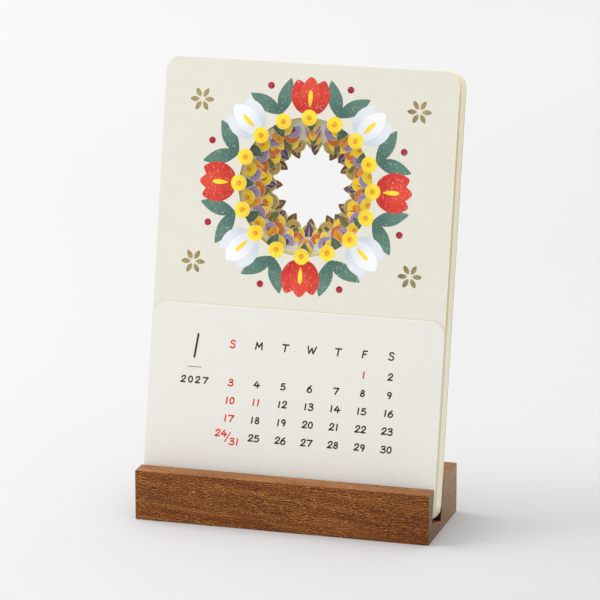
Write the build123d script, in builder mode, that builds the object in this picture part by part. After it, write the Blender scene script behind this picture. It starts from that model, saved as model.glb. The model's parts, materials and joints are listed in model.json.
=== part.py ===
from build123d import *
from math import cos, radians, sin
import os

# A desk calendar. A wooden block has a leaning slot from end to end, and a stack of monthly cards
# stands in the slot. Each month has a tall picture card with a cut-out window and a short date
# card in front of it, so the cards alternate from the front of the stack to its back.
# Millimetres, +Z up, the front towards -Y. The origin is the middle of the block's underside.

os.makedirs("parts", exist_ok=True)

# The cards
month_count = 12
card_width = 100.4
picture_card_height = 148.4
date_card_height = 66.4
picture_card_thickness = 0.34
date_card_thickness = 0.17
picture_corner_radius = 5.4
date_corner_radius = 4.5

# Spaces from the front of the slot to its back, square to the cards' faces
front_clearance = 1.7
front_date_gap = 0.3
front_picture_gap = 2.49
packed_card_gap = 0.05
last_pair_gap = 0.5
rear_clearance = 0.1

# The stand
stand_depth = 38.0
stand_height = 17.1
card_inset = 0.25
front_wall_thickness = 7.2
slot_floor_thickness = 3.25
slot_lean = 12.2
long_edge_round = 0.4
end_edge_round = 0.3

# The windows: each is cut to a smaller circle than the one in front of it, and a ring of round
# blossoms or of pointed leaves, in turn, is left standing over its edge
window_radius = 23.0
window_step = 0.8
blossom_radius = 2.7
edge_leaf_length = 7.6
edge_leaf_width = 3.6
edge_counts = (16, 12, 14, 10, 18, 9, 15, 11, 13, 8, 16, 12)

# The punched stars beside the window: leaf-shaped holes round a middle that stays whole
star_leaf_length = 3.4
star_leaf_width = 1.7
star_middle_radius = 0.8
star_points = 6
corner_star_side_inset = 13.0
corner_star_end_inset = 14.0
side_star_inset = 8.0
side_star_spacing = 24.0

# Where each card's front face lies, behind the slot's front wall. The first pair and the last pair
# stand a little apart from the packed cards between them
date_card_fronts = []
picture_card_fronts = []
next_front = front_clearance
for month in range(month_count):
    date_gap = picture_gap = packed_card_gap
    if month == 0:
        date_gap, picture_gap = front_date_gap, front_picture_gap
    elif month == month_count - 2:
        picture_gap = last_pair_gap
    date_card_fronts.append(next_front)
    next_front += date_card_thickness + date_gap
    picture_card_fronts.append(next_front)
    next_front += picture_card_thickness + picture_gap

# The slot is as wide as the stack and its clearances. Its floor is square to its walls, so it is
# lowest, with the least wood under it, at the foot of the rear wall
lean = radians(slot_lean)
slot_width = picture_card_fronts[-1] + picture_card_thickness + rear_clearance
slot_depth = (stand_height - slot_floor_thickness - slot_width * sin(lean)) / cos(lean)
slot_foot_y = front_wall_thickness - stand_depth / 2 - slot_depth * sin(lean)
slot_foot_z = stand_height - slot_depth * cos(lean)
slot_corner_round = rear_clearance
stand_width = card_width + 2 * card_inset

# The window is in the middle of what shows of a picture card above its date card. Every other card
# has its stars near the corners of that part, and the rest have theirs along its sides, so that no
# star lies over a star of the next card
shown_height = picture_card_height - date_card_height
window_height = date_card_height + shown_height / 2
star_ring_radius = star_middle_radius + star_leaf_length / 2
corner_star_spread = (
    card_width - 2 * corner_star_side_inset,
    shown_height - 2 * corner_star_end_inset,
)
side_star_spread = (card_width - 2 * side_star_inset, side_star_spacing)

# The slot's front wall as a plane: its origin is at the wall's foot, its y runs up the wall and
# its z points to the front, so a card lies at an offset below zero
slot_front = Plane(
    origin=(0, slot_foot_y, slot_foot_z),
    x_dir=(1, 0, 0),
    z_dir=(0, -cos(lean), sin(lean)),
)


def leaf_shape(length, width):
    """A flat leaf along X, pointed at both ends, between two equal arcs."""
    with BuildSketch() as leaf:
        with BuildLine():
            SagittaArc((-length / 2, 0), (length / 2, 0), width / 2)
            SagittaArc((length / 2, 0), (-length / 2, 0), width / 2)
        make_face()
    return leaf.sketch


edge_leaf = leaf_shape(edge_leaf_length, edge_leaf_width)
star_leaf = leaf_shape(star_leaf_length, star_leaf_width)


def picture_card(month, front):
    """A tall card: rounded corners, its window with blossoms or leaves over the edge, its stars."""
    cut_radius = window_radius - month * window_step
    has_blossoms = month % 2 == 0
    edge_count = edge_counts[month % len(edge_counts)]
    star_spread = corner_star_spread if has_blossoms else side_star_spread
    with BuildPart() as card:
        with BuildSketch(slot_front.offset(-front)):
            with Locations((0, picture_card_height / 2)):
                RectangleRounded(card_width, picture_card_height, picture_corner_radius)
            with Locations((0, window_height)):
                Circle(cut_radius, mode=Mode.SUBTRACT)
                with PolarLocations(cut_radius, edge_count, start_angle=90):
                    if has_blossoms:
                        Circle(blossom_radius)
                    else:
                        add(edge_leaf)
                with GridLocations(*star_spread, 2, 2):
                    with PolarLocations(star_ring_radius, star_points):
                        add(star_leaf, mode=Mode.SUBTRACT)
        extrude(amount=-picture_card_thickness)
    return card.part


def date_card(front):
    """A short plain card with rounded corners."""
    with BuildPart() as card:
        with BuildSketch(slot_front.offset(-front)):
            with Locations((0, date_card_height / 2)):
                RectangleRounded(card_width, date_card_height, date_corner_radius)
        extrude(amount=-date_card_thickness)
    return card.part


# The stand: the block's end view with the slot cut through its top, drawn out to its width
with BuildPart() as stand:
    with BuildSketch(Plane.YZ) as end_view:
        with Locations((0, stand_height / 2)):
            Rectangle(stand_depth, stand_height)
        with Locations((slot_foot_y, slot_foot_z)):
            Rectangle(
                slot_width,
                stand_height,
                rotation=-slot_lean,
                align=(Align.MIN, Align.MIN),
                mode=Mode.SUBTRACT,
            )
        rear_foot, front_foot = end_view.vertices().group_by(Axis.Y)[1:3]
        fillet(rear_foot + front_foot, slot_corner_round)
        by_height = end_view.vertices().group_by(Axis.Y)
        fillet(by_height[0] + by_height[-1], long_edge_round)
    extrude(amount=stand_width / 2, both=True)
    end_faces = stand.faces().filter_by(Axis.X).sort_by(Axis.X)
    fillet(end_faces[0].edges() + end_faces[-1].edges(), end_edge_round)
stand.part.label = "stand"
export_step(stand.part, "parts/stand.step")

for month in range(month_count):
    picture = picture_card(month, picture_card_fronts[month])
    picture.label = f"picture_card_{month + 1:02d}"
    export_step(picture, f"parts/{picture.label}.step")
    dates = date_card(date_card_fronts[month])
    dates.label = f"date_card_{month + 1:02d}"
    export_step(dates, f"parts/{dates.label}.step")

print(f"stand {stand_width:.2f} x {stand_depth:.2f} x {stand_height:.2f}")
print(f"slot {slot_width:.2f} wide, {slot_depth:.2f} deep, foot at {slot_foot_y:.3f}, {slot_foot_z:.3f}")
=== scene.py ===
# %% [markdown]
# # A desk calendar on a wooden stand
# Twelve picture cards and twelve date cards stand in a slot in a wooden block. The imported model
# brings the block and the cards at their real size, so this lesson leaves their shapes alone. It
# gives them wood and paper to be made of, and it adds what a printer puts on the cards: thin layers
# of paint round the windows, and ink for the days. Blender works in metres here, so a length in
# millimetres is multiplied by MM before a mesh or a material gets it.

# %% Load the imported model
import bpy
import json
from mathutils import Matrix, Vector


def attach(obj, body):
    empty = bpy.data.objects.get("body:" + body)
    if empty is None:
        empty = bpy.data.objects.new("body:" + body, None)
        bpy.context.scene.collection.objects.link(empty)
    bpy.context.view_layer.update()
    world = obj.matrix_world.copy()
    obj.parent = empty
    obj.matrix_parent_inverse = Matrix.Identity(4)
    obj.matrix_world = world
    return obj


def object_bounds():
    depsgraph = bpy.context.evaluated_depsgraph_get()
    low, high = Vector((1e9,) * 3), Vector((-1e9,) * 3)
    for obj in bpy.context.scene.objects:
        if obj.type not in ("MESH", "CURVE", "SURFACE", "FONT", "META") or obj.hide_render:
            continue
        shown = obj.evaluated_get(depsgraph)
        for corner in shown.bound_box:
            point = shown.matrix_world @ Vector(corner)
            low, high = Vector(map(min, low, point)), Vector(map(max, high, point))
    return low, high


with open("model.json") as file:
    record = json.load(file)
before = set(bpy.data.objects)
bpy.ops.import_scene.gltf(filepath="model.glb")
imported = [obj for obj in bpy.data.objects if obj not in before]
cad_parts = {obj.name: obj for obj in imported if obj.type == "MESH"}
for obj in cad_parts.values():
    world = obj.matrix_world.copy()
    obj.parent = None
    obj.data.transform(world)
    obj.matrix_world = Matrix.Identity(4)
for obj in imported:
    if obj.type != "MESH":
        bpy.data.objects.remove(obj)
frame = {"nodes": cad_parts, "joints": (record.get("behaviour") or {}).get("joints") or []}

import calendar
import json
import math
import random

import bpy
from mathutils import Matrix, Vector

cad_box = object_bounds()
MM = 0.001
scene = bpy.context.scene
cad_size = [round(side / MM, 1) for side in cad_box[1] - cad_box[0]]
print("nodes:", len(frame["nodes"]), "size:", cad_size, "mm")

# %% [markdown]
# ## Where a card's face lies
# Every card leans back with the slot, and the joint that lifts a card says which way is up along it.
# A printed thing is easiest to draw flat, with x to the right, y up the card from its foot and z out
# of its face. The matrix made here carries such a drawing on to the front of a card.

# %% The plane of a card
across_the_card = Vector((1, 0, 0))
up_the_card = Vector(frame["joints"][0]["axis"]).normalized()
out_of_the_card = across_the_card.cross(up_the_card)


def card_plane(card):
    """The matrix from a flat drawing to the front face of a card, and the card's height."""
    corners = [vertex.co for vertex in frame["nodes"][card].data.vertices]
    heights = [corner.dot(up_the_card) for corner in corners]
    face = max(corner.dot(out_of_the_card) for corner in corners)
    plane = Matrix((across_the_card, up_the_card, out_of_the_card)).transposed().to_4x4()
    plane.translation = up_the_card * min(heights) + out_of_the_card * face
    return plane, max(heights) - min(heights)


picture_cards = sorted(name for name in frame["nodes"] if name.startswith("picture_card"))
date_cards = sorted(name for name in frame["nodes"] if name.startswith("date_card"))
picture_height = card_plane(picture_cards[0])[1]
date_height = card_plane(date_cards[0])[1]
window_middle = (picture_height + date_height) / 2
print("cards:", len(picture_cards), "+", len(date_cards))
print("the windows' middle is", round(window_middle / MM, 2), "mm up the cards")

# %% [markdown]
# ## Camera
# The picture was taken with a long lens from a little above and a little to the right, so the lines
# of the cards hardly run together. A long focal length on a camera more than a metre away gives the
# same look.

# %% Camera
camera_place = Vector((0.34938, -1.20647, 0.41507))
camera_turn = math.radians(16.096)
camera_dip = math.radians(15.167)
lens_length, sensor_width = 236.76, 36
nearest_seen, farthest_seen = 0.05, 50

camera = bpy.data.objects.new("camera", bpy.data.cameras.new("camera"))
camera.data.lens = lens_length
camera.data.sensor_width = sensor_width
camera.data.clip_start = nearest_seen
camera.data.clip_end = farthest_seen
camera.location = camera_place
camera.rotation_euler = (math.pi / 2 - camera_dip, 0, camera_turn)
scene.collection.objects.link(camera)
scene.camera = camera
print("camera", round(camera_place.length, 3), "m from the stand")

# %% [markdown]
# ## Nodes in a few words
# Both the materials and the Geometry Nodes trees are made of nodes, so these helpers serve all of
# them. `add_node` makes one node and fills its inputs: a socket is linked, anything else is a value.

# %% Node helpers
def add_node(tree, kind, inputs=None, **settings):
    """A new node. An input that is given a socket is linked to it, any other value is set."""
    node = tree.nodes.new(kind)
    for name, value in settings.items():
        setattr(node, name, value)
    for key, value in (inputs or {}).items():
        if isinstance(value, bpy.types.NodeSocket):
            tree.links.new(value, node.inputs[key])
        else:
            node.inputs[key].default_value = value
    return node


def split_xyz(tree, vector):
    """The three parts of a vector, which can also be picked by the letters X, Y and Z."""
    return add_node(tree, "ShaderNodeSeparateXYZ", {0: vector}).outputs


def shift_range(tree, value, low, high, to_low=0.0, to_high=1.0):
    """The value eased from one range to another, and held at the ends."""
    inputs = {"Value": value, "From Min": low, "From Max": high, "To Min": to_low, "To Max": to_high}
    node = add_node(tree, "ShaderNodeMapRange", inputs, interpolation_type="SMOOTHSTEP")
    return node.outputs[0]


print("node helpers ready")

# %% [markdown]
# A material here starts as a Principled BSDF with Object coordinates. Every object has them, without
# being unwrapped first, and they go along with it when it moves. The Mix node holds its mask between 0
# and 1 by itself, so a mask may be a sum.

# %% Material helpers
def linear_share(share):
    """One channel of a screen colour, 0 to 1, as the share of light that it stands for."""
    return share / 12.92 if share <= 0.04045 else ((share + 0.055) / 1.055) ** 2.4


def paint(red, green, blue):
    """A colour as paint charts give it, 0 to 255, turned into the linear numbers that light uses."""
    return (*(linear_share(channel / 255) for channel in (red, green, blue)), 1.0)


def mix_colours(tree, mask, first, second):
    """Two colours mixed by a mask. A Mix node has its colours at inputs 6 and 7 and at output 2."""
    return add_node(tree, "ShaderNodeMix", {0: mask, 6: first, 7: second}, data_type="RGBA").outputs[2]


def new_material(name):
    """An empty material with a Principled BSDF, and Object coordinates to draw on."""
    material = bpy.data.materials.new(name)
    material.use_nodes = True
    tree = material.node_tree
    tree.nodes.clear()
    shader = add_node(tree, "ShaderNodeBsdfPrincipled")
    add_node(tree, "ShaderNodeOutputMaterial", {"Surface": shader.outputs[0]})
    place = add_node(tree, "ShaderNodeTexCoord").outputs["Object"]
    return material, tree, shader, place


print("material helpers ready")

# %% [markdown]
# ## Floor and light
# The calendar stands on a plain pale table. One large soft light comes from the left, which lays a
# soft shadow to the right of the stand, and an even pale surrounding fills the shadows in. The floor
# is one flat face, and its far edge is out of the picture. Its grey fades a little as painted shade:
# darker to the right and at the front, paler further back.

# %% Floor
floor_half = 6.0
# Painted shade: the floor's grey is darker to the right and paler further back.
floor_left, floor_right = paint(200, 200, 200), paint(192, 192, 192)
floor_behind, floor_far = paint(201, 201, 201), paint(209, 209, 209)
aside_ends, middle_ends, far_ends = (-0.05, 0.15), (-0.1, 0.12), (0.35, 0.9)

floor_mesh = bpy.data.meshes.new("floor")
floor_signs = [(-1, -1), (1, -1), (1, 1), (-1, 1)]
floor_corners = [(x * floor_half, y * floor_half, 0) for x, y in floor_signs]
floor_mesh.from_pydata(floor_corners, [], [(0, 1, 2, 3)])
floor = bpy.data.objects.new("floor", floor_mesh)
scene.collection.objects.link(floor)

floor_paper, tree, shader, place = new_material("floor_paper")
floor_place = split_xyz(tree, place)
aside_fade = shift_range(tree, floor_place["X"], *aside_ends)
middle_fade = shift_range(tree, floor_place["Y"], *middle_ends)
far_fade = shift_range(tree, floor_place["Y"], *far_ends)
floor_colour = mix_colours(tree, aside_fade, floor_left, floor_right)
floor_colour = mix_colours(tree, middle_fade, floor_colour, floor_behind)
floor_colour = mix_colours(tree, far_fade, floor_colour, floor_far)
tree.links.new(floor_colour, shader.inputs["Base Color"])
shader.inputs["Roughness"].default_value = 0.9
shader.inputs["Specular IOR Level"].default_value = 0.1
floor_mesh.materials.append(floor_paper)
print("floor", 2 * floor_half, "m wide")

# %% [markdown]
# The light is an area lamp, because a large lamp gives a shadow its soft edge. Its place is worked out
# from a direction and a distance, so it can go round the calendar and still shine at it.

# %% Light
light_distance = 1.6
light_size = 1.15
light_watts = 20
light_turn = math.radians(-86)
light_height = math.radians(42)

light = bpy.data.objects.new("window_light", bpy.data.lights.new("window_light", "AREA"))
light.data.energy = light_watts
light.data.size = light_size
light_way = Vector((math.sin(light_turn) * math.cos(light_height),
                    -math.cos(light_turn) * math.cos(light_height),
                    math.sin(light_height)))
light.location = light_way * light_distance
light.rotation_euler = light_way.to_track_quat("Z", "Y").to_euler()
scene.collection.objects.link(light)
print("light from", [round(axis, 2) for axis in light_way])

# %% [markdown]
# The surrounding lights what the lamp doesn't reach. One even white would make the sides of the stand
# too much alike, so it is a little stronger from behind, from above and from the right.

# %% Surrounding
sky_front, sky_rear, sky_top, sky_right = 0.82, 1.06, 0.21, 0.15


def maths(tree, operation, first, second=0.0):
    """One sum on values."""
    return add_node(tree, "ShaderNodeMath", {0: first, 1: second}, operation=operation).outputs[0]


def add_swing(tree, total, layer, share, middle=0.5):
    """A total with a share of a layer's swing about its middle added to it."""
    swing = maths(tree, "SUBTRACT", layer, middle)
    return maths(tree, "ADD", total, maths(tree, "MULTIPLY", swing, share))


sky = bpy.data.worlds.new("studio")
sky.use_nodes = True
sky_tree = sky.node_tree
sky_way = split_xyz(sky_tree, add_node(sky_tree, "ShaderNodeTexCoord").outputs["Generated"])
sky_strength = shift_range(sky_tree, sky_way["Y"], -1, 1, sky_front, sky_rear)
sky_strength = add_swing(sky_tree, sky_strength, sky_way["Z"], sky_top, middle=0.0)
sky_strength = add_swing(sky_tree, sky_strength, sky_way["X"], sky_right, middle=0.0)
background = sky_tree.nodes["Background"]
background.inputs["Color"].default_value = (1, 1, 1, 1)
sky_tree.links.new(sky_strength, background.inputs["Strength"])
scene.world = sky
scene.view_settings.view_transform = "Standard"
print("the surrounding gives", sky_front, "in front and", sky_rear, "behind")

# %% [markdown]
# ## Paper
# Card is a felt of fibres: its face has a fine tooth, long pale and dark hairs, and soft clouds where
# the felt is thicker. Every card and every paint on it shows some of this, so it is one shader node
# group that the materials share.

# %% Paper tooth group
noise_roughness = 0.55


def noise(tree, place, stretch, detail=3.0, turn=(0, 0, 0)):
    """Noise with so many lumps to the metre along each axis."""
    mapping = add_node(tree, "ShaderNodeMapping", {"Vector": place, "Rotation": turn, "Scale": stretch})
    inputs = {"Vector": mapping.outputs[0], "Scale": 1.0, "Detail": detail, "Roughness": noise_roughness}
    return add_node(tree, "ShaderNodeTexNoise", inputs).outputs[0]


def new_group(name, inputs, outputs):
    """A shader node group with its sockets, its input node and its output node."""
    group = bpy.data.node_groups.new(name, "ShaderNodeTree")
    for socket_name, socket_kind in inputs:
        group.interface.new_socket(socket_name, in_out="INPUT", socket_type=socket_kind)
    for socket_name, socket_kind in outputs:
        group.interface.new_socket(socket_name, in_out="OUTPUT", socket_type=socket_kind)
    return group, group.nodes.new("NodeGroupInput"), group.nodes.new("NodeGroupOutput")


paper_tooth, group_in, group_out = new_group(
    "paper_tooth",
    [("Place", "NodeSocketVector")],
    [("Tooth", "NodeSocketFloat"), ("Hairs", "NodeSocketFloat"), ("Clouds", "NodeSocketFloat")],
)
tooth_place = group_in.outputs["Place"]
tooth = noise(paper_tooth, tooth_place, (1700, 1700, 1200), detail=2)
hairs_up = noise(paper_tooth, tooth_place, (1500, 300, 170), detail=2, turn=(0, 0.2, 0))
hairs_across = noise(paper_tooth, tooth_place, (220, 900, 1500), detail=2, turn=(0, 0.5, 0))
hairs = maths(paper_tooth, "MAXIMUM", hairs_up, hairs_across)
clouds = noise(paper_tooth, tooth_place, (55, 55, 55), detail=3)
for name, value in (("Tooth", tooth), ("Hairs", hairs), ("Clouds", clouds)):
    paper_tooth.links.new(value, group_out.inputs[name])
print("group", paper_tooth.name, "gives", [socket.name for socket in group_out.inputs if socket.name])

# %% [markdown]
# Where a card is cut, its core shows. On the cream and white cards the core is paler than the face,
# partly as painted light on the side of the stack. Along the top of each face a thin pale rim is a
# painted highlight, where the cut would catch the light.
# The edges could have a material of their own, but then every card would need its faces sorted. The
# surface normal does it without: on a face it points out of the card or into it, on an edge neither.

# %% Helpers for a surface
def place_group(tree, group, inputs):
    """The outputs of a group that is placed as a node in a material or in another group."""
    return add_node(tree, "ShaderNodeGroup", inputs, node_tree=group).outputs


def dot_product(tree, first, second):
    """How far one vector goes along another."""
    inputs = {0: first, 1: second}
    return add_node(tree, "ShaderNodeVectorMath", inputs, operation="DOT_PRODUCT").outputs["Value"]


def add_finish(tree, shader, colour, roughness, specular):
    """Link a colour and a roughness that change over the surface, and set how much it reflects."""
    tree.links.new(colour, shader.inputs["Base Color"])
    tree.links.new(roughness, shader.inputs["Roughness"])
    shader.inputs["Specular IOR Level"].default_value = specular


def add_bump(tree, shader, height, strength, depth):
    """Small relief on a surface."""
    bump = add_node(tree, "ShaderNodeBump", {"Height": height, "Strength": strength, "Distance": depth})
    tree.links.new(bump.outputs[0], shader.inputs["Normal"])


print("surface helpers ready")

# %% Card stock
card_foot = card_plane(date_cards[0])[0].translation.dot(up_the_card)
# Painted highlight: a thin pale rim along the top of each card's face.
highlight_rim_width, highlight_rim_share = 0.4 * MM, 0.8
cloud_share, hair_share, tooth_share = 0.5, 0.25, 0.5
tooth_depth = 0.06 * MM


def card_stock(name, height, pale, deep, core, back=None):
    """Uncoated card: its faces are clouded by the felt, its cut edges show the core, and a thin painted
    highlight runs along the top of the face.
    """
    material, tree, shader, place = new_material(name)
    felt = place_group(tree, paper_tooth, {"Place": place})
    clouds = maths(tree, "MULTIPLY", felt["Clouds"], cloud_share)
    hairs = shift_range(tree, felt["Hairs"], 0.56, 0.76, 0.0, hair_share)
    tooth = shift_range(tree, felt["Tooth"], 0.35, 0.65, 0.0, tooth_share)
    deep_mask = maths(tree, "ADD", maths(tree, "ADD", clouds, hairs), tooth)
    colour = mix_colours(tree, deep_mask, pale, deep)
    normal = add_node(tree, "ShaderNodeTexCoord").outputs["Normal"]
    facing = dot_product(tree, normal, out_of_the_card)
    # A back colour: the first date card's golden back is painted shade.
    if back:
        back_mask = shift_range(tree, facing, -0.8, -0.3, 1.0, 0.0)
        colour = mix_colours(tree, back_mask, colour, back)
    # The cut edges take the core colour; on the cream and white stocks it is partly painted light.
    edge_mask = shift_range(tree, maths(tree, "ABSOLUTE", facing), 0.3, 0.8, 1.0, 0.0)
    # Painted highlight: a pale rim along the top of the face.
    card_top = card_foot + height
    rise = dot_product(tree, place, up_the_card)
    painted_highlight_mask = shift_range(tree, rise, card_top - highlight_rim_width, card_top - highlight_rim_width / 4, 0.0, highlight_rim_share)
    colour = mix_colours(tree, maths(tree, "MAXIMUM", edge_mask, painted_highlight_mask), colour, core)
    roughness = shift_range(tree, felt["Tooth"], 0.3, 0.7, 0.78, 0.92)
    add_finish(tree, shader, colour, roughness, specular=0.25)
    add_bump(tree, shader, felt["Tooth"], 0.2, tooth_depth)
    return material


print("cards stand", round(card_foot / MM, 2), "mm up the slot's lean")

# %% [markdown]
# Most picture cards are cream and most date cards ivory. The first date card is whiter. A few lines at
# the side of the stack are golden; that is painted shade of the gaps between cards, given as a warmer
# stock to two months and as a golden back to the first date card, which tints the gap behind it.

# %% The stocks
tan = paint(204, 190, 156)
# Painted shade: two months get warmer stocks for the golden shade in the gaps between cards.
golden_shade_months = (2, 11)

# The cream and white cores are paler than their faces, partly as painted light on the stack's side.
cream_card = card_stock("cream_card", picture_height, paint(230, 228, 217), paint(224, 221, 207),
                        core=paint(251, 247, 232))
honey_card = card_stock("honey_card", picture_height, paint(252, 237, 190), paint(245, 227, 173),
                        core=paint(250, 234, 188))
white_card = card_stock("white_card", date_height, paint(232, 231, 225), paint(227, 225, 217),
                        # The golden back is painted shade for the gap behind the first date card.
                        core=paint(251, 248, 237), back=paint(240, 214, 150))
ivory_card = card_stock("ivory_card", date_height, paint(230, 228, 222), paint(225, 222, 214), core=tan)
sand_card = card_stock("sand_card", date_height, paint(254, 247, 224), paint(250, 241, 213), core=tan)

for month, (picture_card, date_card) in enumerate(zip(picture_cards, date_cards), start=1):
    in_golden_shade = month in golden_shade_months
    picture_stock = honey_card if in_golden_shade else cream_card
    date_stock = white_card if month == 1 else sand_card if in_golden_shade else ivory_card
    frame["nodes"][picture_card].material_slots[0].material = picture_stock
    frame["nodes"][date_card].material_slots[0].material = date_stock
print("card stock on", len(picture_cards) + len(date_cards), "cards")

# %% [markdown]
# ## Wood
# The stand is milled from one block of a brown hardwood. Its grain runs along the slot, waves a little
# and dips slightly to the right. Seen close up, such wood has slow bands where the tree grew, long
# streaks, short strokes and dark pores. Each of them is noise that is drawn out along x, and their
# swings are added up into one shade. Noise goes through the whole block, so the grain runs on from
# one side to the next, which a flat picture of wood would not do.

# %% The run of the grain
stand_wood, tree, shader, place = new_material("stand_wood")
grain_tilt = math.radians(-4.5)
wave_height = 2 * MM
grain_layers = {
    "bands": ((16, 170, 170), 0.22),
    "streaks": ((32, 640, 640), 0.33),
    "strokes": ((350, 1100, 1100), 0.08),
    "pores": ((1900, 2900, 2900), 0.78),
}


def vector_maths(tree, operation, first, second):
    """One sum on vectors that gives a vector."""
    return add_node(tree, "ShaderNodeVectorMath", {0: first, 1: second}, operation=operation).outputs[0]


def join_xyz(tree, x=0.0, y=0.0, z=0.0):
    """A vector from its three parts."""
    return add_node(tree, "ShaderNodeCombineXYZ", {0: x, 1: y, 2: z}).outputs[0]


wave = add_swing(tree, 0.0, noise(tree, place, (45, 80, 80), detail=1), wave_height)
waved = vector_maths(tree, "ADD", place, join_xyz(tree, y=wave, z=wave))
grain = add_node(tree, "ShaderNodeMapping", {"Vector": waved, "Rotation": (0, grain_tilt, 0)}).outputs[0]
shade = 0.5
for stretch, share in grain_layers.values():
    shade = add_swing(tree, shade, noise(tree, grain, stretch, detail=0), share)
print("layers of grain:", ", ".join(grain_layers))

# %% [markdown]
# Between the pores lie fine strokes, as close together as hatching with a pen. Gabor noise draws such
# strokes, because it has one direction and one spacing, and a little jitter keeps them from lining up.

# %% Hatch of fine strokes
jitter_height = 0.5 * MM
hatch_scale = (600, 400, 400)
hatch_frequency = 4.0
hatch_share = 1.1
across_the_grain = (0, 0.7, 0.7)

jitter = maths(tree, "MULTIPLY", noise(tree, grain, (700, 900, 900), detail=0), jitter_height)
jittered = vector_maths(tree, "ADD", grain, join_xyz(tree, y=jitter, z=jitter))
hatch_place = add_node(tree, "ShaderNodeMapping", {"Vector": jittered, "Scale": hatch_scale}).outputs[0]
hatch = add_node(tree, "ShaderNodeTexGabor", {
    "Vector": hatch_place, "Scale": 1.0, "Frequency": hatch_frequency, "Anisotropy": 1.0},
    gabor_type="3D")
hatch.inputs["Orientation"].default_value = across_the_grain
shade = add_swing(tree, shade, hatch.outputs["Value"], hatch_share)
print("about", round(hatch_scale[1] * hatch_frequency * MM, 1), "strokes to the millimetre")

# %% [markdown]
# The front is a little paler towards its left end and its top, so the shade also follows x and z. A
# colour ramp then turns the shade into browns.

# %% Browns
shade_to_right, shade_upwards = -1.1, 3.4
half_way_up = 8.5 * MM
browns = ((0.2, paint(60, 26, 8)), (0.4, paint(106, 53, 16)), (0.55, paint(127, 70, 23)),
          (0.7, paint(149, 93, 39)), (0.9, paint(182, 126, 66)))

along_x, along_y, along_z = split_xyz(tree, place)
shade = add_swing(tree, shade, along_x, shade_to_right, middle=0.0)
shade = add_swing(tree, shade, along_z, shade_upwards, middle=half_way_up)
ramp = add_node(tree, "ShaderNodeValToRGB", {0: shade})
ramp_stops = ramp.color_ramp.elements
for position, brown in browns[1:-1]:
    ramp_stops.new(position)
for stop, (position, brown) in zip(ramp_stops, browns):
    stop.position = position
    stop.color = brown
colour = ramp.outputs[0]
print("browns:", len(browns))

# %% [markdown]
# The top is a little paler than the front, as painted light from above. The ends are cut across the
# grain, so they are greyer and show growth rings round the heart of the tree, which lay below this
# block, and the pores as dots. Their paling towards the rear and the top is painted light. The normal
# tells which side a point is on.

# %% Top and ends
top_light_share, end_share = 0.18, 0.75
tree_heart = (0, 12 * MM, -40 * MM)
ring_scale, ring_share, dot_share = 700.0, 0.9, 1.0
end_base, end_light_to_rear, end_light_upwards = 0.3, 17.0, 22.0

stand_normal = add_node(tree, "ShaderNodeTexCoord").outputs["Normal"]
normal_way = split_xyz(tree, stand_normal)
# Painted light: the top is paler where light falls on it from above.
top_light_mask = shift_range(tree, normal_way["Z"], 0.6, 0.98, 0.0, top_light_share)
colour = mix_colours(tree, top_light_mask, colour, paint(178, 128, 62))

from_heart = vector_maths(tree, "SUBTRACT", waved, tree_heart)
from_heart = vector_maths(tree, "MULTIPLY", from_heart, (0, 1, 1))
ring_place = add_node(tree, "ShaderNodeVectorMath", {0: from_heart}, operation="LENGTH").outputs["Value"]
ring_inputs = {"W": ring_place, "Scale": ring_scale, "Detail": 1.0}
rings = add_node(tree, "ShaderNodeTexNoise", ring_inputs, noise_dimensions="1D").outputs[0]
dots = noise(tree, place, (300, 1400, 1400), detail=1)
# Painted light: the ends grow paler towards the rear and the top.
end_tone = add_swing(tree, end_base, along_y, end_light_to_rear, middle=0.0)
end_tone = add_swing(tree, end_tone, along_z, end_light_upwards, middle=0.0)
end_tone = add_swing(tree, end_tone, rings, ring_share)
end_tone = add_swing(tree, end_tone, dots, dot_share)
end_colour = mix_colours(tree, end_tone, paint(94, 72, 48), paint(155, 127, 93))
end_mask = shift_range(tree, maths(tree, "ABSOLUTE", normal_way["X"]), 0.5, 0.9, 0.0, end_share)
colour = mix_colours(tree, end_mask, colour, end_colour)
print("the tree's heart lay", -tree_heart[2] / MM, "mm below the stand")

# %% [markdown]
# The walls of the slot are painted nearly black low down, as painted shade deep in the slot, and brown
# again at its mouth. They are the only surfaces of the stand that face along the cards' own front and
# back.

# %% Painted shade in the slot, and finish
stand_top = max(vertex.co.z for vertex in frame["nodes"]["stand"].data.vertices)
dark_from, brown_from = stand_top - 6 * MM, stand_top - 0.5 * MM
pore_depth = 0.03 * MM

# Painted shade: the slot's walls darken towards its floor.
wall_facing = dot_product(tree, stand_normal, out_of_the_card)
slot_shade_mask = shift_range(tree, maths(tree, "ABSOLUTE", wall_facing), 0.98, 0.995)
deep_mask = shift_range(tree, along_z, dark_from, brown_from, 0.95, 0.3)
colour = mix_colours(tree, maths(tree, "MULTIPLY", slot_shade_mask, deep_mask), colour, paint(16, 6, 3))
roughness = shift_range(tree, shade, 0.3, 0.7, 0.54, 0.40)
add_finish(tree, shader, colour, roughness, specular=0.22)
add_bump(tree, shader, shade, 0.1, pore_depth)
frame["nodes"]["stand"].material_slots[0].material = stand_wood
print("wood on the stand,", len(tree.nodes), "nodes")

# %% [markdown]
# ## Paint
# The pictures are printed from flat shapes in a chalky paint. It covers well but not quite evenly: the
# tooth of the card shows through as pale specks, and each shape is a little deeper at its root. The
# shapes carry an attribute `along`, 0 at the root and 1 at the tip, which the paint reads for that.
# Sixteen colours differ only in their two tones, so the coat itself is one group for all of them.

# %% Chalky paint
brush_share, speck_share = 0.35, 0.28

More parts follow.
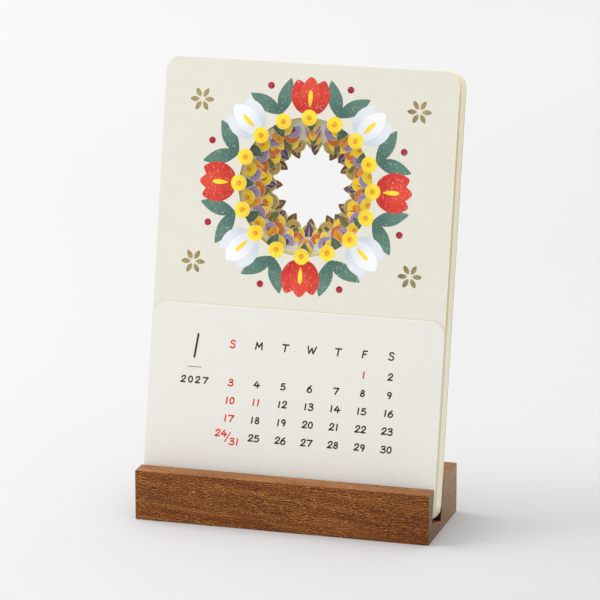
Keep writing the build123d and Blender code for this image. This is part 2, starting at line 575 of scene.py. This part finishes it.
chalky_paint, group_in, group_out = new_group(
    "chalky_paint",
    [("Place", "NodeSocketVector"), ("Along", "NodeSocketFloat"),
     ("Tip", "NodeSocketColor"), ("Root", "NodeSocketColor")],
    [("Colour", "NodeSocketColor"), ("Tooth", "NodeSocketFloat")],
)
felt = place_group(chalky_paint, paper_tooth, {"Place": group_in.outputs["Place"]})
tip_mask = shift_range(chalky_paint, group_in.outputs["Along"], 0.05, 0.7)
brushed = maths(chalky_paint, "MULTIPLY", felt["Clouds"], brush_share)
tip_mask = maths(chalky_paint, "SUBTRACT", tip_mask, brushed)
colour = mix_colours(chalky_paint, tip_mask, group_in.outputs["Root"], group_in.outputs["Tip"])
specks = shift_range(chalky_paint, felt["Tooth"], 0.56, 0.72, 0.0, speck_share)
colour = mix_colours(chalky_paint, specks, colour, paint(244, 240, 226))
chalky_paint.links.new(colour, group_out.inputs["Colour"])
chalky_paint.links.new(felt["Tooth"], group_out.inputs["Tooth"])
print("group", chalky_paint.name, "with", len(chalky_paint.nodes), "nodes")

# %% The paints
paint_depth = 0.05 * MM
paint_colours = {
    "red": ((218, 66, 52), (196, 48, 40)),
    "scarlet": ((228, 80, 62), (204, 54, 44)),
    "mist": ((232, 236, 241), (206, 213, 222)),
    "white": ((248, 249, 250), (224, 229, 235)),
    "yellow": ((252, 228, 60), (246, 208, 36)),
    "amber": ((240, 178, 52), (226, 150, 40)),
    "leaf": ((98, 134, 120), (76, 110, 100)),
    "olive": ((150, 140, 62), (120, 112, 48)),
    "orange": ((228, 140, 66), (206, 112, 50)),
    "plum": ((116, 92, 116), (90, 68, 90)),
    "lilac": ((184, 166, 198), (158, 138, 176)),
    "rose": ((226, 172, 178), (206, 144, 152)),
    "slate": ((124, 138, 146), (98, 112, 122)),
    "berry": ((176, 46, 66), (150, 34, 54)),
    "wheat": ((206, 184, 112), (184, 158, 86)),
    "bark": ((138, 104, 72), (112, 80, 54)),
}


def chalky_material(name, tip, root):
    """One colour of paint, with its deeper colour at the root of each shape."""
    material, tree, shader, place = new_material(name)
    along = add_node(tree, "ShaderNodeAttribute", attribute_name="along").outputs["Fac"]
    coat = place_group(tree, chalky_paint, {"Place": place, "Along": along, "Tip": tip, "Root": root})
    roughness = shift_range(tree, coat["Tooth"], 0.3, 0.7, 0.7, 0.88)
    add_finish(tree, shader, coat["Colour"], roughness, specular=0.25)
    add_bump(tree, shader, coat["Tooth"], 0.12, paint_depth)
    return material


paints = {name: chalky_material(f"paint_{name}", paint(*tip), paint(*root))
          for name, (tip, root) in paint_colours.items()}
print("paints:", ", ".join(paints))

# %% [markdown]
# ## A ring of painted shapes
# Round each window the same petal, leaf or dot comes again and again at one distance from the middle.
# That is a job for Geometry Nodes: one flat slab is bent to the shape's outline, set on points round
# a circle, and made real. The tree takes in whatever is there already and adds its ring to it, so
# several of them in a row build up a whole picture.

# %% Inputs of the motif ring
def new_geometry_tree(name, sockets):
    """A Geometry Nodes tree with named inputs, and geometry in and out."""
    tree = bpy.data.node_groups.new(name, "GeometryNodeTree")
    tree.interface.new_socket("Geometry", in_out="INPUT", socket_type="NodeSocketGeometry")
    tree.interface.new_socket("Geometry", in_out="OUTPUT", socket_type="NodeSocketGeometry")
    for socket_name, socket_kind in sockets:
        tree.interface.new_socket(socket_name, in_out="INPUT", socket_type=socket_kind)
    return tree, tree.nodes.new("NodeGroupInput").outputs, tree.nodes.new("NodeGroupOutput")


ring_values = ("Radius", "Start", "Length", "Width", "Tip", "Root", "Turn", "Aside", "Low", "High")
ring_sockets = [
    ("Count", "NodeSocketInt"),
    *((name, "NodeSocketFloat") for name in ring_values),
    ("Outline", "NodeSocketInt"),
    ("Paint", "NodeSocketMaterial"),
]
motif_ring, ring_in, ring_out = new_geometry_tree("motif_ring", ring_sockets)
print("tree", motif_ring.name, "takes", len(ring_sockets), "values")

# %% [markdown]
# The shape starts as a round slab of radius 1. Its x runs from the root, at -1, to the tip, at 1. The
# width is narrowed by the square of x towards each end, so one tree makes dots, petals and leaves.

# %% The shape of a motif
def narrowing(end, share):
    """How much of the width is left towards one end of the shape."""
    squared = maths(motif_ring, "MULTIPLY", end, end)
    return maths(motif_ring, "SUBTRACT", 1.0, maths(motif_ring, "MULTIPLY", squared, share))


slab_inputs = {"Vertices": ring_in["Outline"], "Radius": 1.0, "Depth": 1.0}
slab = add_node(motif_ring, "GeometryNodeMeshCylinder", slab_inputs).outputs["Mesh"]
slab_place = add_node(motif_ring, "GeometryNodeInputPosition").outputs[0]
slab_x, slab_y, slab_z = split_xyz(motif_ring, slab_place)
half_length = maths(motif_ring, "MULTIPLY", ring_in["Length"], 0.5)
half_width = maths(motif_ring, "MULTIPLY", ring_in["Width"], 0.5)
tip_width = narrowing(maths(motif_ring, "MAXIMUM", slab_x, 0.0), ring_in["Tip"])
root_width = narrowing(maths(motif_ring, "MINIMUM", slab_x, 0.0), ring_in["Root"])
width_share = maths(motif_ring, "MULTIPLY", tip_width, root_width)
shape_x = maths(motif_ring, "MULTIPLY", slab_x, half_length)
shape_y = maths(motif_ring, "MULTIPLY", maths(motif_ring, "MULTIPLY", slab_y, width_share), half_width)
shape_z = add_node(motif_ring, "ShaderNodeMapRange", {
    "Value": slab_z, "From Min": -0.5, "From Max": 0.5,
    "To Min": ring_in["Low"], "To Max": ring_in["High"]}).outputs[0]

from_root = maths(motif_ring, "ADD", maths(motif_ring, "MULTIPLY", slab_x, 0.5), 0.5)
shape = add_node(motif_ring, "GeometryNodeStoreNamedAttribute",
                 {"Geometry": slab, "Name": "along", "Value": from_root},
                 data_type="FLOAT", domain="POINT").outputs[0]
shape = add_node(motif_ring, "GeometryNodeSetPosition", {
    "Geometry": shape, "Position": join_xyz(motif_ring, shape_x, shape_y, shape_z)}).outputs[0]
shape = add_node(motif_ring, "GeometryNodeTransform", {
    "Geometry": shape, "Translation": join_xyz(motif_ring, y=ring_in["Aside"]),
    "Rotation": join_xyz(motif_ring, z=ring_in["Turn"])}).outputs[0]
print("the shape takes", len(motif_ring.nodes), "nodes")

# %% [markdown]
# Each point of the ring gets its angle from its own index, and the copy on it is turned by the same
# angle, so that every tip points outwards.

# %% The ring of copies
ring_step = maths(motif_ring, "DIVIDE", math.tau, ring_in["Count"])
ring_index = add_node(motif_ring, "GeometryNodeInputIndex").outputs[0]
ring_angle = maths(motif_ring, "MULTIPLY", ring_index, ring_step)
ring_angle = maths(motif_ring, "ADD", ring_in["Start"], ring_angle)
ring_x = maths(motif_ring, "MULTIPLY", maths(motif_ring, "COSINE", ring_angle), ring_in["Radius"])
ring_y = maths(motif_ring, "MULTIPLY", maths(motif_ring, "SINE", ring_angle), ring_in["Radius"])
ring_points = add_node(motif_ring, "GeometryNodePoints", {
    "Count": ring_in["Count"], "Position": join_xyz(motif_ring, ring_x, ring_y)}).outputs[0]
ring_turn = add_node(motif_ring, "FunctionNodeAxisAngleToRotation",
                     {"Axis": (0, 0, 1), "Angle": ring_angle}).outputs[0]
copies = add_node(motif_ring, "GeometryNodeInstanceOnPoints",
                  {"Points": ring_points, "Instance": shape, "Rotation": ring_turn}).outputs[0]
real_copies = add_node(motif_ring, "GeometryNodeRealizeInstances", {"Geometry": copies}).outputs[0]
painted = add_node(motif_ring, "GeometryNodeSetMaterial",
                   {"Geometry": real_copies, "Material": ring_in["Paint"]}).outputs[0]
joined = add_node(motif_ring, "GeometryNodeJoinGeometry")
motif_ring.links.new(painted, joined.inputs[0])
motif_ring.links.new(ring_in["Geometry"], joined.inputs[0])
motif_ring.links.new(joined.outputs[0], ring_out.inputs[0])
print("tree", motif_ring.name, "with", len(motif_ring.nodes), "nodes")

# %% [markdown]
# A modifier knows its inputs by identifiers, so they are looked up by the names that the tree gives
# them. What the modifiers make is then kept as a plain mesh, laid on a card, and told which card to
# ride on.

# %% Run a tree and keep the mesh
def set_inputs(modifier, values):
    """Set a modifier's inputs by the names of the tree's sockets."""
    sockets = {item.name: item.identifier for item in modifier.node_group.interface.items_tree
               if item.in_out == "INPUT"}
    for name, value in values.items():
        modifier[sockets[name]] = value


def bake_to_card(maker, name, plane, card):
    """Keep what an object's modifiers make as a plain mesh on the face of a card."""
    depsgraph = bpy.context.evaluated_depsgraph_get()
    mesh = bpy.data.meshes.new_from_object(maker.evaluated_get(depsgraph))
    mesh.transform(plane)
    mesh.name = name
    bpy.data.objects.remove(maker)
    piece = bpy.data.objects.new(name, mesh)
    scene.collection.objects.link(piece)
    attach(piece, card)
    return piece


print("ready to print")

# %% [markdown]
# ## The pictures
# Every picture is a wreath of its own round its window. The edge of each window is cut round blossoms
# or round leaves, and the printed ones lie just inside the cut. Behind them, petals, leaves and dots
# go outwards. A layer of paint is only some microns thick, because the next card slides past it. The
# sizes in a wreath are in millimetres.

# %% Printing a wreath
paint_sunk = -0.008 * MM
paint_thickness = 0.012 * MM
layer_step = 0.003 * MM
outline_points = 24


def new_ring(colour, count, radius, length, width, tip=0.0, root=0.0, start=0.0, turn=0.0, aside=0.0):
    """One ring of a wreath, with lengths in millimetres and angles in degrees; 0 is straight up."""
    return {
        "Paint": paints[colour], "Count": count, "Radius": radius * MM,
        "Length": length * MM, "Width": width * MM, "Tip": tip, "Root": root,
        "Start": math.radians(90 + start), "Turn": math.radians(turn), "Aside": aside * MM,
    }


def window_plane(card):
    """The matrix from a flat drawing round the origin to the middle of a card's window."""
    return card_plane(card)[0] @ Matrix.Translation((0, window_middle, 0))


def print_wreath(card, rings):
    """Print rings of shapes, the lowest first, round the window of a picture card."""
    maker = bpy.data.objects.new("wreath_maker", bpy.data.meshes.new("wreath_maker"))
    scene.collection.objects.link(maker)
    for layer, ring in enumerate(rings):
        modifier = maker.modifiers.new(f"ring_{layer}", "NODES")
        modifier.node_group = motif_ring
        top = paint_thickness + layer * layer_step
        set_inputs(modifier, {**ring, "Low": paint_sunk, "High": top, "Outline": outline_points})
    return bake_to_card(maker, card.replace("card", "print"), window_plane(card), card)


print("each layer of paint lies", layer_step / MM, "mm over the last")

# %% The motifs on the cut edges
edge_counts = (16, 12, 14, 10, 18, 9, 15, 11, 13, 8, 16, 12)
blossom_size = 5.4
edge_leaf_length, edge_leaf_width = 7.6, 3.6
trim = 0.98
blossom_heart = 1.9
vein_share, vein_width = 0.75, 0.5


def has_blossoms(month):
    """Odd months have blossoms on the edge of their window, even ones leaves."""
    return month % 2 == 1


def cut_radius(month, card):
    """The circle that a window is cut to. The motifs on it reach inside it by half their length."""
    flatten = window_plane(card).inverted()
    reach = min((flatten @ vertex.co).xy.length for vertex in frame["nodes"][card].data.vertices)
    return reach / MM + (blossom_size if has_blossoms(month) else edge_leaf_length) / 2


def edge_rings(month, radius, colour, heart):
    """The blossoms or leaves on the edge of a month's window, with a dot or a vein on each."""
    count = edge_counts[month - 1]
    if has_blossoms(month):
        size = blossom_size * trim
        return [new_ring(colour, count, radius, size, size),
                new_ring(heart, count, radius, blossom_heart, blossom_heart)]
    length, width = edge_leaf_length * trim, edge_leaf_width * trim
    return [new_ring(colour, count, radius, length, width, tip=0.5, root=0.5),
            new_ring(heart, count, radius, length * vein_share, vein_width)]


first_radius = cut_radius(1, picture_cards[0])
print("the first window is cut to a radius of", round(first_radius, 2), "mm")

# %% The front wreath
tulip = {"radius": 29.8, "length": 11.5, "width": 7.2, "tip": 0.45}
tulip_heart = {"radius": 30.2, "length": 12.4, "width": 7.0, "tip": 0.3}
tulip_turn, tulip_aside = 17, 3.0
leaf_pair = {"radius": 30.4, "length": 13.0, "width": 5.0, "tip": 0.6, "root": 0.6, "start": 22.5}
leaf_turn, leaf_aside = 38, 3.4
stamen = {"radius": 29.2, "length": 5.6, "width": 1.5, "tip": -0.4, "root": 0.7}
berry = {"radius": 35.6, "length": 2.3, "width": 2.3, "start": 22.5}
sides = (1, -1)

front_rings = [new_ring("leaf", 8, turn=leaf_turn * side, aside=leaf_aside * side, **leaf_pair)
               for side in sides]
for colour, heart, start in (("red", "scarlet", 0), ("mist", "white", 45)):
    for side in sides:
        turn, aside = tulip_turn * side, tulip_aside * side
        front_rings.append(new_ring(colour, 4, start=start, turn=turn, aside=aside, **tulip))
    front_rings.append(new_ring(heart, 4, start=start, **tulip_heart))
front_rings += [
    new_ring("yellow", 8, **stamen),
    new_ring("berry", 8, **berry),
    *edge_rings(1, first_radius, "yellow", "amber"),
]
front_print = print_wreath(picture_cards[0], front_rings)
print(front_print.name, len(front_print.data.polygons), "faces")

# %% [markdown]
# The other months have a simpler wreath. What shows of them through the front window is mostly their
# cut edges, one inside the other, so neighbours differ in colour as well as in shape.

# %% The other wreaths
month_colours = {
    2: ("leaf", "olive", "yellow", "leaf", "berry"),
    3: ("yellow", "amber", "rose", "leaf", "berry"),
    4: ("amber", "orange", "yellow", "olive", "yellow"),
    5: ("lilac", "plum", "yellow", "slate", "plum"),
    6: ("yellow", "amber", "amber", "leaf", "lilac"),
    7: ("orange", "yellow", "wheat", "leaf", "red"),
    8: ("olive", "leaf", "yellow", "olive", "orange"),
    9: ("yellow", "orange", "lilac", "slate", "rose"),
    10: ("plum", "lilac", "orange", "olive", "berry"),
    11: ("wheat", "bark", "yellow", "bark", "amber"),
    12: ("bark", "wheat", "amber", "leaf", "white"),
}
leaf_out, outer_leaf = 7.5, {"length": 9.5, "width": 3.8, "tip": 0.6, "root": 0.6}
petal_out, petal_length, petal_cover = 4.9, 9.4, 0.95
dot_out, dot_size = 13.6, 1.8


def month_rings(month, card):
    """Leaves, petals and dots outside the cut edge, then the motifs on the edge."""
    edge, heart, petals, leaves, dots = month_colours[month]
    count = edge_counts[month - 1]
    radius = cut_radius(month, card)
    half_step = 180 / count
    petal_width = petal_cover * math.tau * (radius + petal_out) / count
    return [
        new_ring(leaves, count, radius + leaf_out, start=half_step, **outer_leaf),
        new_ring(petals, count, radius + petal_out, petal_length, petal_width, tip=0.3),
        new_ring(dots, count, radius + dot_out, dot_size, dot_size, start=half_step),
        *edge_rings(month, radius, edge, heart),
    ]


for month, card in enumerate(picture_cards[1:], start=2):
    wreath = print_wreath(card, month_rings(month, card))
    print(wreath.name, len(wreath.data.polygons), "faces")

# %% [markdown]
# ## Ink
# The days are written with a round pen, in one line of even width. A curve through a few points is one
# stroke of the pen, and the nib's round ends are small discs. The tree sweeps a flat section along
# the curves and adds the discs, so a stroke is a thin closed slab of ink. Text objects would be less
# work, but the strokes of most fonts swell and taper, and a round pen's don't.

# %% Ink
def ink_material(name, colour, worn):
    """Printing ink that has soaked into the card a little unevenly."""
    material, tree, shader, place = new_material(name)
    tooth = place_group(tree, paper_tooth, {"Place": place})["Tooth"]
    worn_mask = shift_range(tree, tooth, 0.45, 0.75, 0.0, 0.8)
    roughness = shift_range(tree, tooth, 0.3, 0.7, 0.6, 0.8)
    add_finish(tree, shader, mix_colours(tree, worn_mask, colour, worn), roughness, specular=0.3)
    return material


dark_ink = ink_material("dark_ink", paint(52, 39, 25), paint(80, 64, 48))
red_ink = ink_material("red_ink", paint(222, 44, 26), paint(230, 86, 68))
print("inks:", dark_ink.name, red_ink.name)

# %% The pen stroke tree
pen_stroke, pen_in, pen_out = new_geometry_tree("pen_stroke", [
    ("Step", "NodeSocketFloat"), ("Low", "NodeSocketFloat"), ("High", "NodeSocketFloat"),
    ("Ink", "NodeSocketMaterial"),
])
stroke = add_node(pen_stroke, "GeometryNodeResampleCurve",
                  {"Curve": pen_in["Geometry"], "Length": pen_in["Step"]}, mode="LENGTH").outputs[0]
stroke = add_node(pen_stroke, "GeometryNodeSetCurveNormal", {"Curve": stroke}, mode="Z_UP").outputs[0]
nib_radius = add_node(pen_stroke, "GeometryNodeInputRadius").outputs[0]
nib_section = add_node(pen_stroke, "GeometryNodeCurvePrimitiveQuadrilateral",
                       {"Width": 2.0, "Height": 2.0}).outputs[0]
line = add_node(pen_stroke, "GeometryNodeCurveToMesh", {
    "Curve": stroke, "Profile Curve": nib_section, "Scale": nib_radius, "Fill Caps": True}).outputs[0]
disc = add_node(pen_stroke, "GeometryNodeMeshCylinder",
                {"Vertices": 12, "Radius": 1.0, "Depth": 1.0}).outputs[0]
stroke_ends = add_node(pen_stroke, "GeometryNodeCurveEndpointSelection").outputs[0]
discs = add_node(pen_stroke, "GeometryNodeInstanceOnPoints", {
    "Points": stroke, "Selection": stroke_ends, "Instance": disc, "Scale": nib_radius}).outputs[0]
discs = add_node(pen_stroke, "GeometryNodeRealizeInstances", {"Geometry": discs}).outputs[0]
written = add_node(pen_stroke, "GeometryNodeJoinGeometry")
pen_stroke.links.new(line, written.inputs[0])
pen_stroke.links.new(discs, written.inputs[0])
print("a stroke with its ends takes", len(pen_stroke.nodes), "nodes")

# %% [markdown]
# So far a stroke is about as thick as the pen is wide. Each of its points lies either above the card's
# face or below it, so the upper ones all go to the top of the ink and the lower ones just under the face.

# %% Flatten the ink
pen_place = add_node(pen_stroke, "GeometryNodeInputPosition").outputs[0]
pen_x, pen_y, pen_z = split_xyz(pen_stroke, pen_place)
is_top = maths(pen_stroke, "GREATER_THAN", pen_z, 0.0)
ink_z = add_node(pen_stroke, "ShaderNodeMapRange",
                 {"Value": is_top, "To Min": pen_in["Low"], "To Max": pen_in["High"]}).outputs[0]
flat = add_node(pen_stroke, "GeometryNodeSetPosition", {
    "Geometry": written.outputs[0], "Position": join_xyz(pen_stroke, pen_x, pen_y, ink_z)}).outputs[0]
inked = add_node(pen_stroke, "GeometryNodeSetMaterial",
                 {"Geometry": flat, "Material": pen_in["Ink"]}).outputs[0]
pen_stroke.links.new(inked, pen_out.inputs[0])
print("tree", pen_stroke.name, "with", len(pen_stroke.nodes), "nodes")

# %% [markdown]
# ## Letters and figures
# Each figure is a few strokes in a box one unit high: straight lines, curves that are drawn towards
# their points, and loops. Twelve cards of days need only ten figures, five letters and a slash.

# %% Strokes of the figures
loop_points = 12


def line_stroke(*points):
    """Straight lines from point to point, each a stroke of its own so that the corners stay sharp."""
    return [("line", pair) for pair in zip(points, points[1:])]


def curve_stroke(*points):
    """One smooth stroke that is drawn towards the points."""
    return [("curve", points)]


def loop_stroke(x, y, half_width, half_height):
    """One closed round stroke."""
    angles = [math.tau * step / loop_points for step in range(loop_points)]
    points = [(x + half_width * math.sin(angle), y + half_height * math.cos(angle)) for angle in angles]
    return [("loop", points)]


figures = {
    "0": loop_stroke(0.30, 0.50, 0.30, 0.53),
    "1": line_stroke((0.20, 0.0), (0.22, 1.0)),
    "2": curve_stroke((0.05, 0.74), (0.10, 1.06), (0.60, 1.08), (0.58, 0.62), (0.22, 0.26), (0.0, 0.02))
    + line_stroke((0.0, 0.02), (0.62, 0.03)),
    "3": curve_stroke((0.06, 0.90), (0.26, 1.08), (0.62, 1.00), (0.54, 0.60), (0.20, 0.55))
    + curve_stroke((0.20, 0.55), (0.66, 0.58), (0.66, 0.04), (0.28, -0.10), (0.0, 0.10)),
    "4": line_stroke((0.40, 1.0), (0.0, 0.33), (0.80, 0.36)) + line_stroke((0.56, 0.66), (0.53, 0.0)),
    "5": line_stroke((0.56, 1.0), (0.14, 0.98), (0.08, 0.56))
    + curve_stroke((0.08, 0.56), (0.46, 0.72), (0.70, 0.30), (0.42, -0.10), (0.0, 0.08)),
    "6": curve_stroke((0.46, 1.0), (0.10, 0.72), (-0.08, 0.10), (0.28, -0.12), (0.64, 0.06),
                      (0.56, 0.56), (0.20, 0.60), (0.04, 0.30)),
    "7": line_stroke((0.0, 0.98), (0.74, 0.98)) + curve_stroke((0.74, 0.98), (0.46, 0.55), (0.32, 0.0)),
    "8": loop_stroke(0.30, 0.76, 0.21, 0.25) + loop_stroke(0.30, 0.25, 0.28, 0.27),
    "9": loop_stroke(0.29, 0.72, 0.26, 0.29) + curve_stroke((0.54, 0.78), (0.56, 0.40), (0.36, 0.0)),
    "S": curve_stroke((0.56, 0.88), (0.42, 1.10), (0.02, 1.02), (0.06, 0.60), (0.58, 0.50),
                      (0.60, 0.0), (0.22, -0.08), (0.0, 0.10)),
    "M": line_stroke((0.0, 0.0), (0.11, 1.0), (0.42, 0.32), (0.77, 1.0), (0.84, 0.0)),
    "T": line_stroke((0.0, 1.0), (0.80, 1.0)) + line_stroke((0.40, 1.0), (0.37, 0.0)),
    "W": line_stroke((0.0, 1.0), (0.25, 0.0), (0.54, 0.78), (0.79, 0.0), (1.10, 1.0)),
    "F": line_stroke((0.08, 0.0), (0.12, 1.0), (0.60, 1.0)) + line_stroke((0.10, 0.52), (0.50, 0.53)),
    "/": line_stroke((0.04, -0.12), (0.52, 1.10)),
}
print("figures:", " ".join(figures))

# %% [markdown]
# Figures in a row slant a little and sway a little more, each by itself, as written ones do. The sway
# comes from a random generator with a fixed seed, so every run writes the same.

# %% Writing
slant = 0.10
most_sway, most_lift = 0.03, 0.02
widening = 1.15
letter_gap = 0.30
wobble = random.Random(27)


def figure_width(strokes):
    """How wide a figure's box is, with as much room after the figure as there is before it."""
    across = [x for kind, points in strokes for x, y in points]
    return min(across) + max(across)


def new_stroke(curve, points, pen, kind="line"):
    """Add one stroke through some points in millimetres to a curve, as wide as the pen."""
    spline = curve.splines.new("POLY" if kind == "line" else "NURBS")
    spline.points.add(len(points) - 1)
    for point, (x, y) in zip(spline.points, points):
        point.co = (x * MM, y * MM, 0, 1)
        point.radius = pen / 2 * MM
    if kind == "curve":
        spline.order_u = 3
        spline.use_endpoint_u = True
    if kind == "loop":
        spline.order_u = 4
        spline.use_cyclic_u = True


def write(curve, words, middle, foot, height, pen, gap=letter_gap):
    """Add the strokes of some figures to a curve, centred on a place on the card, in millimetres."""
    widths = [widening * figure_width(figures[figure]) for figure in words]
    cursor = -(sum(widths) + gap * (len(words) - 1)) / 2
    for figure, width in zip(words, widths):
        lean = slant + wobble.uniform(-most_sway, most_sway)
        lift = wobble.uniform(-most_lift, most_lift)
        for kind, points in figures[figure]:
            placed = [(middle + (cursor + widening * x + lean * (y - 0.5)) * height,
                       foot + (y + lift) * height) for x, y in points]
            new_stroke(curve, placed, pen, kind)
        cursor += width + gap


print("slant", slant, "of the height")

# %% [markdown]
# ## The date cards
# Each date card has the month's number and the year at the left and seven columns of days at the
# right. Sundays and feast days are red. A month that would need a sixth row shares a place in the
# fifth one between two days, with a slash. Places are in millimetres from the middle of a card's foot.

# %% Layout of a date card
year = 2027
feast_days = {1: (1, 11)}
weekdays = "SMTWTFS"
most_rows = 5
column_start, column_step = -21.6, 9.08
header_foot, header_height = 52.75, 2.25
row_start, row_step = 46.0, 5.98
day_height, day_pen = 2.0, 0.5
month_middle = -34.2
month_foot, month_height, month_pen = 48.55, 7.7, 0.7
year_foot, year_height, year_gap = 40.07, 1.95, 0.58
rule_left, rule_right, rule_foot, rule_pen = -36.8, -32.1, 45.35, 0.2
share_aside, share_rise, share_drop = 2.3, 0.9, 1.6
slash_drop, slash_height, slash_pen = 0.5, 1.3 * day_height, 0.8 * day_pen
print("rows of days from", row_start, "down to", round(row_start - (most_rows - 1) * row_step, 1), "mm")

# %% Writing a month
def write_shared(pen, day, later_day, middle, foot):
    """Write two days in one place, with a slash between them."""
    write(pen, str(day), middle - share_aside, foot + share_rise, day_height, day_pen)
    write(pen, "/", middle, foot - slash_drop, slash_height, slash_pen)
    write(pen, str(later_day), middle + share_aside, foot - share_drop, day_height, day_pen)


def write_days(dark, red, month):
    """Write the days of a month in their rows and columns."""
    weeks = calendar.Calendar(firstweekday=6).monthdayscalendar(year, month)
    later_days = weeks[most_rows] if len(weeks) > most_rows else [0] * len(weekdays)
    for row, week in enumerate(weeks[:most_rows]):
        foot = row_start - row * row_step
        for column, day in enumerate(week):
            middle = column_start + column * column_step
            pen = red if column == 0 or day in feast_days.get(month, ()) else dark
            if row == most_rows - 1 and later_days[column]:
                write_shared(pen, day, later_days[column], middle, foot)
            elif day:
                write(pen, str(day), middle, foot, day_height, day_pen)


def write_month(dark, red, month):
    """Write a month's number, the year and its days with two pens."""
    write(dark, str(month), month_middle, month_foot, month_height, month_pen)
    write(dark, str(year), month_middle, year_foot, year_height, day_pen, gap=year_gap)
    new_stroke(dark, ((rule_left, rule_foot), (rule_right, rule_foot)), rule_pen)
    for column, letter in enumerate(weekdays):
        pen = red if column == 0 else dark
        write(pen, letter, column_start + column * column_step, header_foot, header_height, day_pen)
    write_days(dark, red, month)


print("each month is written with a dark pen and a red one")

# %% Print the date cards
ink_sunk, ink_top = -0.008 * MM, 0.014 * MM
pen_step = 0.3 * MM


def new_pen(name):
    """An empty curve to write on."""
    curve = bpy.data.curves.new(name, "CURVE")
    curve.dimensions = "3D"
    curve.resolution_u = 8
    return curve


def print_ink(curve, card, ink):
    """Turn written curves into a thin mesh of ink on a date card."""
    maker = bpy.data.objects.new(curve.name, curve)
    scene.collection.objects.link(maker)
    modifier = maker.modifiers.new("pen", "NODES")
    modifier.node_group = pen_stroke
    set_inputs(modifier, {"Step": pen_step, "Low": ink_sunk, "High": ink_top, "Ink": ink})
    return bake_to_card(maker, curve.name, card_plane(card)[0], card)


for month, card in enumerate(date_cards, start=1):
    dark = new_pen(card.replace("card", "dark_ink"))
    red = new_pen(card.replace("card", "red_ink"))
    write_month(dark, red, month)
    pieces = [print_ink(dark, card, dark_ink), print_ink(red, card, red_ink)]
    print(card, [len(piece.data.polygons) for piece in pieces], "faces of ink")

# %% [markdown]
# ## The end
# The script ends by counting the pieces that it printed on the cards. Nothing that was added may make the
# calendar larger than the imported model.

# %% The end
print("printed pieces:", len(picture_cards) + 2 * len(date_cards))
